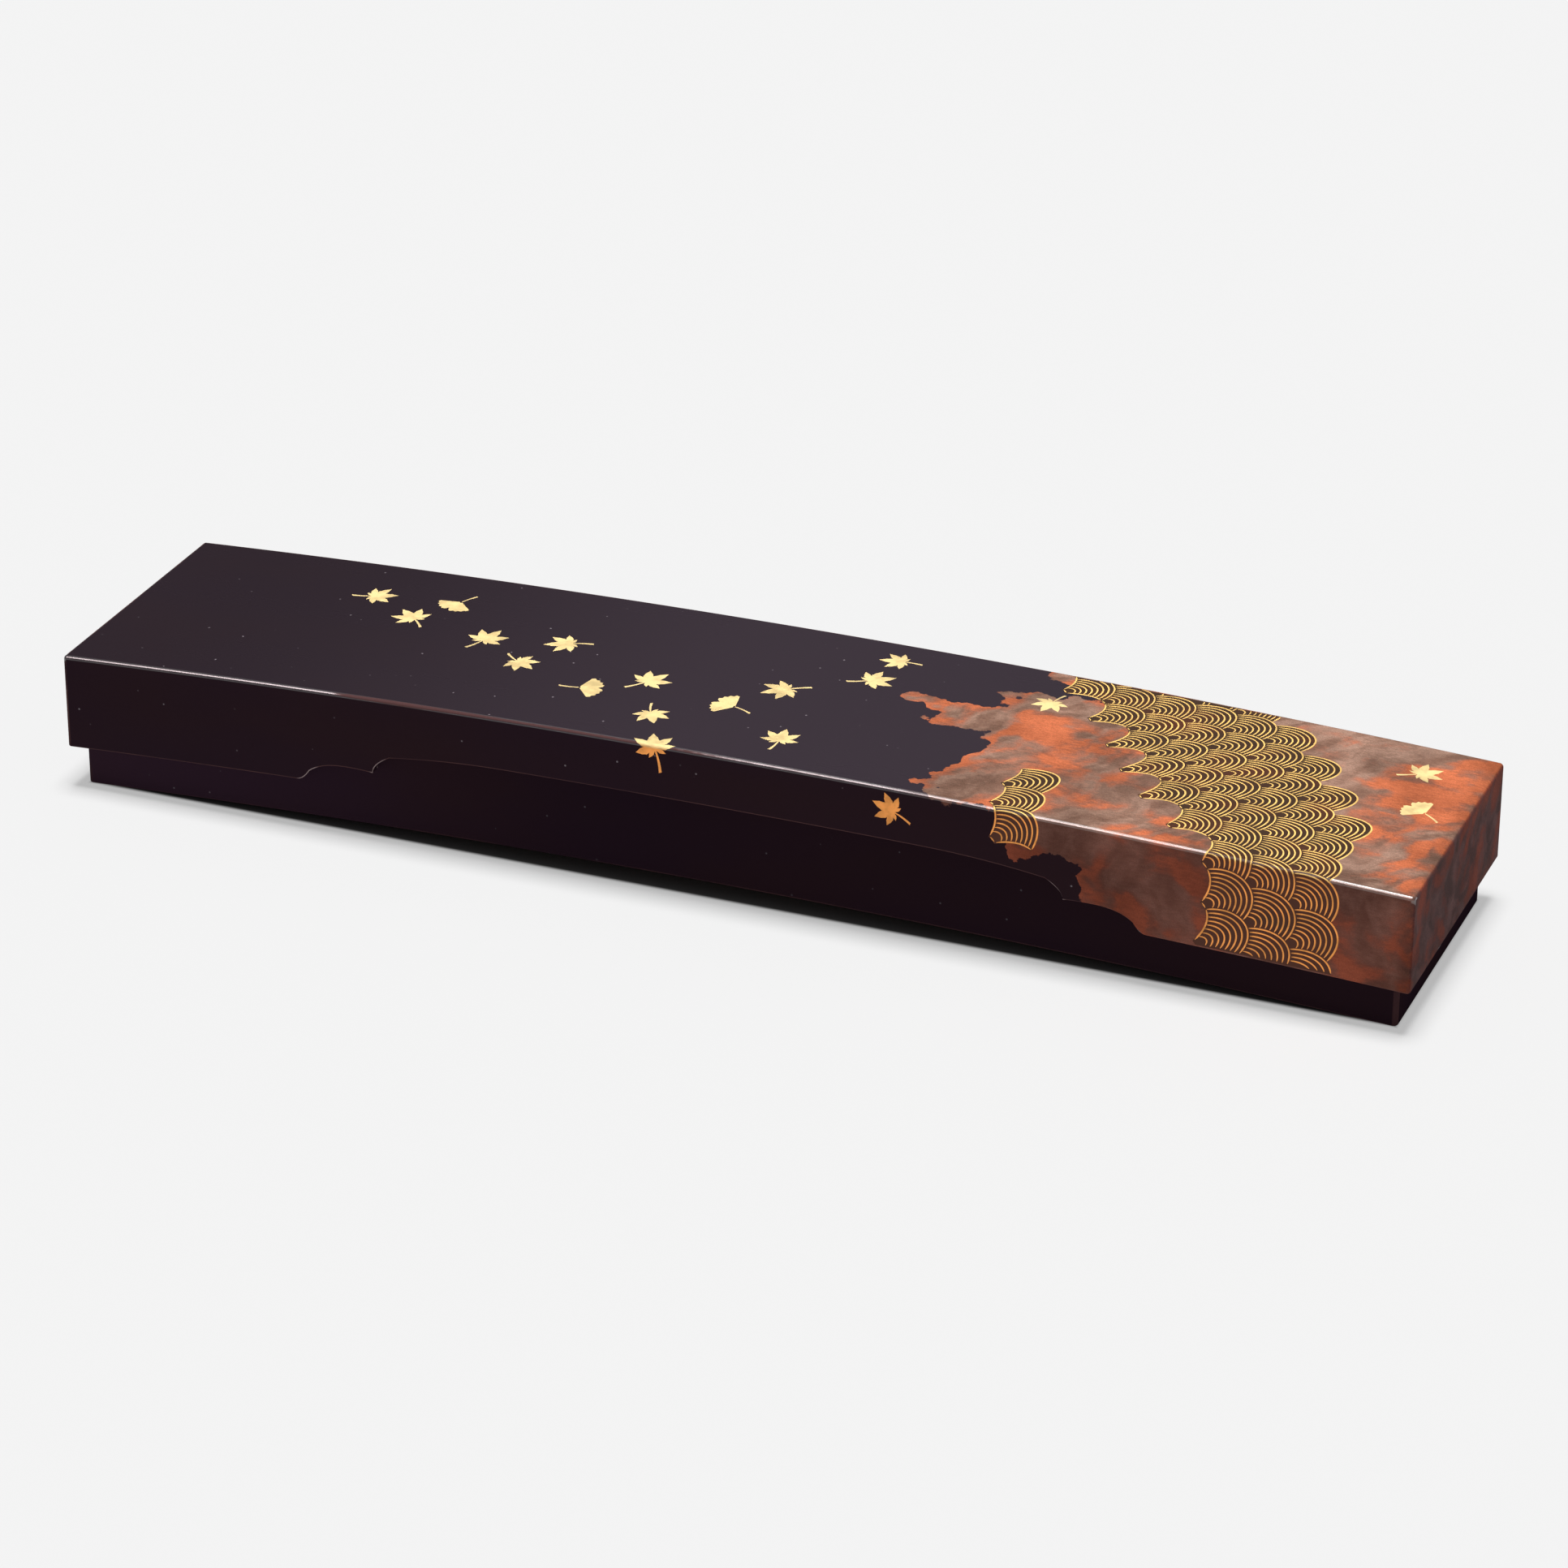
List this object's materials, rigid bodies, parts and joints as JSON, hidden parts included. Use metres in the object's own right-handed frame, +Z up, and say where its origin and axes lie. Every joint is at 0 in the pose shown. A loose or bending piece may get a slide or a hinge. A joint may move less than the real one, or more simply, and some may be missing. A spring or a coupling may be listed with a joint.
{
  "type": "lidded slip box",
  "caption": "Long, narrow lacquered wooden box, bowed like a shallow bridge, with a deep lift-off lid whose long rims are cut away in a stepped curve.",
  "frame": {"origin": "the middle of the footprint, on the surface that the box stands on", "axes": "+X along the box, to the right when its front is seen; -Y its front; +Z up"},
  "size_m": [0.394, 0.087, 0.0459],
  "materials": {
    "lid_lacquer": "polished near-black plum lacquer, with a marbled rust and grey-brown area and gold powder drawing",
    "box_lacquer": "polished near-black plum lacquer",
    "timber": "bare sawn softwood",
    "bamboo": "bare split bamboo"
  },
  "bodies": {
    "box": {"box_bottom_board": "box_lacquer", "box_front_wall": "box_lacquer", "box_back_wall": "box_lacquer", "box_left_wall": "box_lacquer", "box_right_wall": "box_lacquer", "box_spline_front_left": "timber", "box_spline_front_right": "timber", "box_spline_back_left": "timber", "box_spline_back_right": "timber"},
    "lid": {"lid_top_board": "lid_lacquer", "lid_front_wall": "lid_lacquer", "lid_back_wall": "lid_lacquer", "lid_left_wall": "lid_lacquer", "lid_right_wall": "lid_lacquer", "lid_spline_front_left": "timber", "lid_spline_front_right": "timber", "lid_spline_back_left": "timber", "lid_spline_back_right": "timber", "lid_pin_front_1": "bamboo", "lid_pin_front_2": "bamboo", "lid_pin_front_3": "bamboo", "lid_pin_front_4": "bamboo", "lid_pin_back_1": "bamboo", "lid_pin_back_2": "bamboo", "lid_pin_back_3": "bamboo", "lid_pin_back_4": "bamboo", "lid_pin_left": "bamboo", "lid_pin_right": "bamboo"}
  },
  "joints": [
    {"name": "lid_lift", "type": "slide", "parent": "box", "child": "lid", "axis": [0, 0, 1], "range_m": [0, 0.08]}
  ]
}
